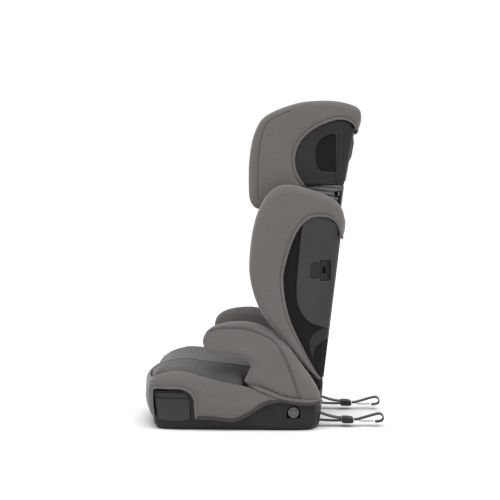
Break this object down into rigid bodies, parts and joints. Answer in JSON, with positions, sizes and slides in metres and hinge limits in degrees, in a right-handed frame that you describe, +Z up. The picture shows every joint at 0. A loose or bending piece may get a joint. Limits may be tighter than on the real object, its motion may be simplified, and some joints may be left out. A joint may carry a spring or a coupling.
{
  "type": "high-back booster car seat",
  "caption": "Child car seat: wide base with armrests and drawer cup holders, winged backrest that reclines, height-adjustable winged headrest, lower anchor hooks.",
  "frame": {"origin": "centre of the flat underside of the base", "axes": "+Z up, the child faces -X, +Y is the child's right"},
  "size_m": [0.5462, 0.437, 0.734],
  "materials": {
    "grey_fabric": "woven, warm grey",
    "dark_fabric": "knitted, dark grey",
    "shell_plastic": "moulded, fine texture",
    "base_plastic": "moulded, black",
    "grey_plastic": "moulded, mid grey",
    "foam": "foam block",
    "steel": "bright",
    "webbing": "woven webbing, black",
    "rubber": "matte",
    "black_steel": "black coated"
  },
  "bodies": {
    "base": {"base_tub": "base_plastic", "seat_deck": "base_plastic", "seat_foam": "foam", "seat_cushion": "dark_fabric", "front_cover": "grey_fabric", "side_cover_left": "grey_fabric", "side_cover_right": "grey_fabric", "armrest_core_left": "base_plastic", "armrest_core_right": "base_plastic", "armrest_cover_left": "grey_fabric", "armrest_cover_right": "grey_fabric", "hinge_axle": "steel", "anchor_bar": "steel", "anchor_strap_left": "webbing", "anchor_strap_right": "webbing", "strap_tail_left": "webbing", "strap_tail_right": "webbing", "strap_adjuster_left": "base_plastic", "strap_adjuster_right": "base_plastic"},
    "backrest": {"back_shell": "shell_plastic", "wing_cover_left": "grey_fabric", "wing_cover_right": "grey_fabric", "wing_foam_left": "foam", "wing_foam_right": "foam", "back_foam": "foam", "back_pad": "dark_fabric", "back_top_band": "grey_fabric", "height_rack": "shell_plastic", "carriage_guide_left": "shell_plastic", "carriage_guide_right": "shell_plastic", "cover_clip_left": "base_plastic", "cover_clip_right": "base_plastic", "hinge_arm_left": "shell_plastic", "hinge_arm_right": "shell_plastic", "lower_insert_left": "rubber", "lower_insert_right": "rubber"},
    "headrest": {"headrest_shell": "shell_plastic", "headrest_cover_left": "grey_fabric", "headrest_cover_right": "grey_fabric", "headrest_foam_left": "foam", "headrest_foam_right": "foam", "headrest_top": "grey_fabric", "headrest_pillow": "dark_fabric", "headrest_carriage": "shell_plastic", "belt_guide_left": "base_plastic", "belt_guide_right": "base_plastic"},
    "handle": {"headrest_handle": "grey_plastic"},
    "lock_bar": {"lock_bar": "steel"},
    "cup_left": {"cup_holder_left": "base_plastic"},
    "cup_right": {"cup_holder_right": "base_plastic"},
    "button_left": {"recline_button_left": "grey_plastic", "lock_pin_left": "steel"},
    "button_right": {"recline_button_right": "grey_plastic", "lock_pin_right": "steel"},
    "belt_gate_left": {"belt_gate_left": "grey_plastic"},
    "belt_gate_right": {"belt_gate_right": "grey_plastic"},
    "hook_left": {"latch_hook_left": "black_steel"},
    "hook_gate_left": {"hook_gate_left": "steel"},
    "hook_right": {"latch_hook_right": "black_steel"},
    "hook_gate_right": {"hook_gate_right": "steel"}
  },
  "joints": [
    {"name": "backrest_recline", "type": "hinge", "parent": "base", "child": "backrest", "pos_m": [0.164, 0, 0.072], "axis": [0, 1, 0], "range_deg": [0, 15]},
    {"name": "headrest_height", "type": "slide", "parent": "backrest", "child": "headrest", "axis": [0.1184, 0, 0.993], "range_m": [-0.06, 0.1]},
    {"name": "handle_pull", "type": "slide", "parent": "headrest", "child": "handle", "axis": [0.1736, 0, 0.9848], "range_m": [0, 0.01], "stiffness_N_per_m": 300},
    {"name": "lock_bar_travel", "type": "slide", "parent": "headrest", "child": "lock_bar", "axis": [-0.993, 0, 0.1184], "range_m": [0, 0.003]},
    {"name": "cup_left_slide", "type": "slide", "parent": "base", "child": "cup_left", "axis": [0, -1, 0], "range_m": [0, 0.08]},
    {"name": "cup_right_slide", "type": "slide", "parent": "base", "child": "cup_right", "axis": [0, 1, 0], "range_m": [0, 0.08]},
    {"name": "button_left_press", "type": "slide", "parent": "base", "child": "button_left", "axis": [0, 1, 0], "range_m": [0, 0.003], "stiffness_N_per_m": 500},
    {"name": "button_right_press", "type": "slide", "parent": "base", "child": "button_right", "axis": [0, -1, 0], "range_m": [0, 0.003], "stiffness_N_per_m": 500},
    {"name": "belt_gate_left_open", "type": "hinge", "parent": "headrest", "child": "belt_gate_left", "pos_m": [0.2251, -0.1313, 0.5295], "axis": [0, 1, 0], "range_deg": [0, 30], "stiffness_Nm_per_rad": 0.05},
    {"name": "belt_gate_right_open", "type": "hinge", "parent": "headrest", "child": "belt_gate_right", "pos_m": [0.2251, 0.1313, 0.5295], "axis": [0, 1, 0], "range_deg": [0, 30], "stiffness_Nm_per_rad": 0.05},
    {"name": "hook_left_swing", "type": "hinge", "parent": "base", "child": "hook_left", "pos_m": [0.26, -0.125, 0.016], "axis": [0, -1, 0], "range_deg": [0, 35]},
    {"name": "hook_gate_left_open", "type": "hinge", "parent": "hook_left", "child": "hook_gate_left", "pos_m": [0.272, -0.125, 0.0138], "axis": [0, -1, 0], "range_deg": [0, 12], "stiffness_Nm_per_rad": 0.05},
    {"name": "hook_right_swing", "type": "hinge", "parent": "base", "child": "hook_right", "pos_m": [0.26, 0.125, 0.016], "axis": [0, -1, 0], "range_deg": [0, 35]},
    {"name": "hook_gate_right_open", "type": "hinge", "parent": "hook_right", "child": "hook_gate_right", "pos_m": [0.272, 0.125, 0.0138], "axis": [0, -1, 0], "range_deg": [0, 12], "stiffness_Nm_per_rad": 0.05}
  ],
  "couplings": [
    {"joint": "lock_bar_travel", "follows": "handle_pull", "ratio": 0.3}
  ]
}
